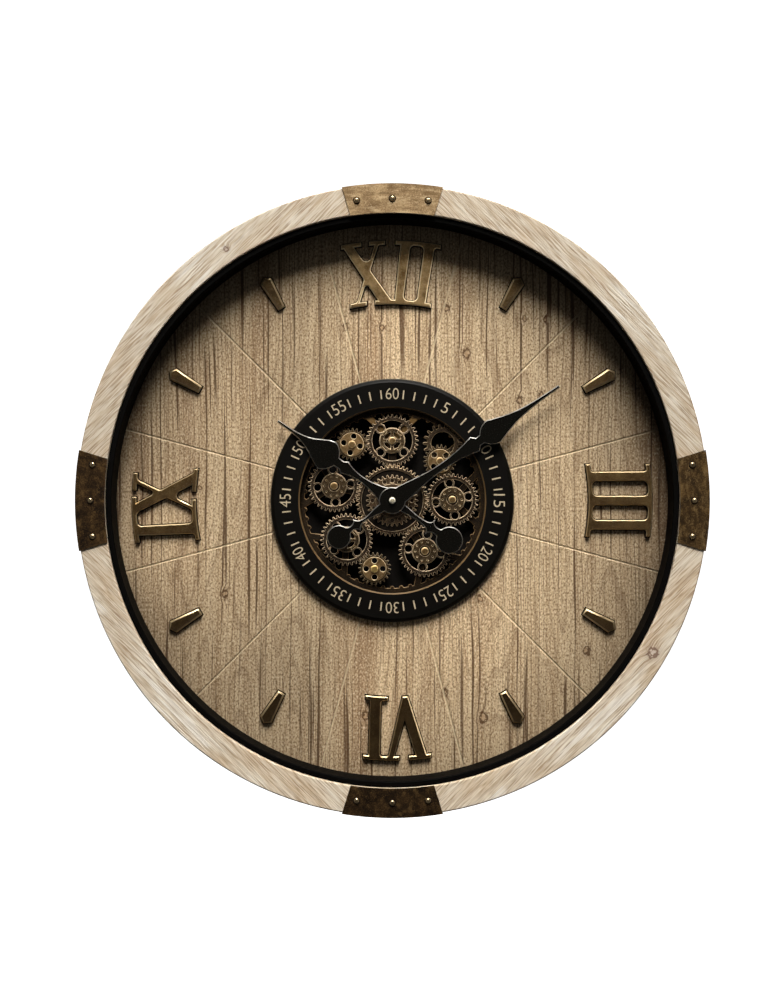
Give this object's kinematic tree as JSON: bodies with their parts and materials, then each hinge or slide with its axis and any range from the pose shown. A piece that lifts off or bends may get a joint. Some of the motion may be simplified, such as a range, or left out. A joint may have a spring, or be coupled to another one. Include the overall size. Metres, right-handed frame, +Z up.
{
  "type": "wall clock",
  "caption": "Round wooden wall clock with riveted metal straps, raised Roman numerals, spade hands and an open train of turning wheels behind a black minute ring.",
  "frame": {"origin": "centre of the hanger's keyhole, on the plane of the wall", "axes": "+Z up, +X to the right seen from the room, the dial faces -Y and +Y points into the wall"},
  "size_m": [0.6, 0.0734, 0.6001],
  "materials": {
    "case_wood": "stained, matt",
    "rim_wood": "limewashed, matt",
    "strap_bronze": "aged bronze, satin",
    "rivet_bronze": "aged bronze, satin",
    "hoop_black": "black paint, satin",
    "dial_wood": "waxed, matt",
    "numeral_bronze": "aged bronze with bright edges, satin",
    "well_black": "matt",
    "chapter_black": "black with cream printing, satin",
    "back_bronze": "dark bronze, satin",
    "stud_brass": "polished",
    "gear_bronze": "dark bronze, satin",
    "hub_brass": "satin",
    "small_brass": "polished",
    "hand_black": "black lacquer, gloss",
    "nut_bright": "polished",
    "case_plastic": "black, matt",
    "movement_brass": "plain",
    "setting_plastic": "moulded",
    "coil_copper": "enamelled wire",
    "board_green": "matt",
    "motor_steel": "plain",
    "cell_jacket": "printed jacket, plain",
    "hanger_steel": "zinc plated"
  },
  "bodies": {
    "case": {"case_ring": "case_wood", "rim_segment_upper_right": "rim_wood", "rim_segment_lower_right": "rim_wood", "rim_segment_lower_left": "rim_wood", "rim_segment_upper_left": "rim_wood", "rim_strap_top": "strap_bronze", "rim_strap_right": "strap_bronze", "rim_strap_bottom": "strap_bronze", "rim_strap_left": "strap_bronze", "strap_rivets": "rivet_bronze", "inner_hoop": "hoop_black", "dial_board": "dial_wood", "numeral_twelve": "numeral_bronze", "numeral_three": "numeral_bronze", "numeral_six": "numeral_bronze", "numeral_nine": "numeral_bronze", "hour_markers": "numeral_bronze", "gear_well": "well_black", "chapter_ring": "chapter_black", "back_wheel": "back_bronze", "coarse_wheel": "back_bronze", "wheel_studs": "stud_brass", "centre_clip": "stud_brass", "movement_case": "case_plastic", "movement_cover": "case_plastic", "bush_nut": "movement_brass", "circuit_board": "board_green", "drive_coil": "coil_copper", "motor_case": "case_plastic", "motor_cover": "case_plastic", "motor": "motor_steel", "cells": "cell_jacket", "hanger_plate": "hanger_steel", "hanger_screws": "hanger_steel"},
    "centre_wheels": {"centre_wheel": "gear_bronze", "centre_top_wheel": "gear_bronze"},
    "satellite_top": {"satellite_top": "gear_bronze", "hub_plate_top": "hub_brass"},
    "satellite_right": {"satellite_right": "gear_bronze", "hub_plate_right": "hub_brass"},
    "satellite_lower_right": {"satellite_lower_right": "gear_bronze", "hub_plate_lower_right": "hub_brass"},
    "satellite_lower_left": {"satellite_lower_left": "gear_bronze", "hub_plate_lower_left": "hub_brass"},
    "satellite_left": {"satellite_left": "gear_bronze", "hub_plate_left": "hub_brass"},
    "small_upper_left": {"small_wheel_upper_left": "small_brass"},
    "small_upper_right": {"small_wheel_upper_right": "small_brass"},
    "small_bottom": {"small_wheel_bottom": "small_brass", "output_shaft": "movement_brass"},
    "motor_pinion": {"motor_pinion": "movement_brass"},
    "minute": {"minute_hand": "hand_black", "hand_nut": "nut_bright", "minute_arbor": "movement_brass"},
    "hour": {"hour_hand": "hand_black", "hour_wheel": "movement_brass"},
    "setting": {"setting_wheel": "setting_plastic", "setting_knob": "setting_plastic"}
  },
  "joints": [
    {"name": "centre_spin", "type": "hinge", "parent": "case", "child": "centre_wheels", "pos_m": [0, -0.03, -0.277], "axis": [0, -1, 0], "continuous": true},
    {"name": "satellite_top_spin", "type": "hinge", "parent": "case", "child": "satellite_top", "pos_m": [0, -0.03, -0.21895], "axis": [0, -1, 0], "continuous": true},
    {"name": "satellite_right_spin", "type": "hinge", "parent": "case", "child": "satellite_right", "pos_m": [0.05804, -0.03, -0.27599], "axis": [0, -1, 0], "continuous": true},
    {"name": "satellite_lower_right_spin", "type": "hinge", "parent": "case", "child": "satellite_lower_right", "pos_m": [0.03153, -0.03, -0.32574], "axis": [0, -1, 0], "continuous": true},
    {"name": "satellite_lower_left_spin", "type": "hinge", "parent": "case", "child": "satellite_lower_left", "pos_m": [-0.04414, -0.03, -0.3147], "axis": [0, -1, 0], "continuous": true},
    {"name": "satellite_left_spin", "type": "hinge", "parent": "case", "child": "satellite_left", "pos_m": [-0.0563, -0.03, -0.26286], "axis": [0, -1, 0], "continuous": true},
    {"name": "small_upper_left_spin", "type": "hinge", "parent": "case", "child": "small_upper_left", "pos_m": [-0.03898, -0.03, -0.22263], "axis": [0, -1, 0], "continuous": true},
    {"name": "small_upper_right_spin", "type": "hinge", "parent": "case", "child": "small_upper_right", "pos_m": [0.04607, -0.03, -0.23871], "axis": [0, -1, 0], "continuous": true},
    {"name": "small_bottom_spin", "type": "hinge", "parent": "case", "child": "small_bottom", "pos_m": [-0.01714, -0.03, -0.34305], "axis": [0, -1, 0], "continuous": true},
    {"name": "motor_pinion_spin", "type": "hinge", "parent": "case", "child": "motor_pinion", "pos_m": [-0.00214, -0.012, -0.34305], "axis": [0, -1, 0], "continuous": true},
    {"name": "minute_spin", "type": "hinge", "parent": "case", "child": "minute", "pos_m": [0, -0.045, -0.277], "axis": [0, -1, 0], "continuous": true},
    {"name": "hour_spin", "type": "hinge", "parent": "case", "child": "hour", "pos_m": [0, -0.043, -0.277], "axis": [0, -1, 0], "continuous": true},
    {"name": "setting_spin", "type": "hinge", "parent": "case", "child": "setting", "pos_m": [0.00688, -0.006, -0.26717], "axis": [0, -1, 0], "continuous": true}
  ],
  "couplings": [
    {"joint": "satellite_top_spin", "follows": "centre_spin", "ratio": -1.3889},
    {"joint": "satellite_right_spin", "follows": "centre_spin", "ratio": -1.3889},
    {"joint": "satellite_lower_right_spin", "follows": "centre_spin", "ratio": -1.3889},
    {"joint": "satellite_lower_left_spin", "follows": "centre_spin", "ratio": -1.3889},
    {"joint": "satellite_left_spin", "follows": "centre_spin", "ratio": -1.3889},
    {"joint": "small_upper_left_spin", "follows": "centre_spin", "ratio": 2.2727},
    {"joint": "small_upper_right_spin", "follows": "centre_spin", "ratio": 2.2727},
    {"joint": "small_bottom_spin", "follows": "centre_spin", "ratio": 2.2727},
    {"joint": "motor_pinion_spin", "follows": "centre_spin", "ratio": -6.8182},
    {"joint": "hour_spin", "follows": "minute_spin", "ratio": 0.083333},
    {"joint": "setting_spin", "follows": "minute_spin", "ratio": -0.33333}
  ]
}
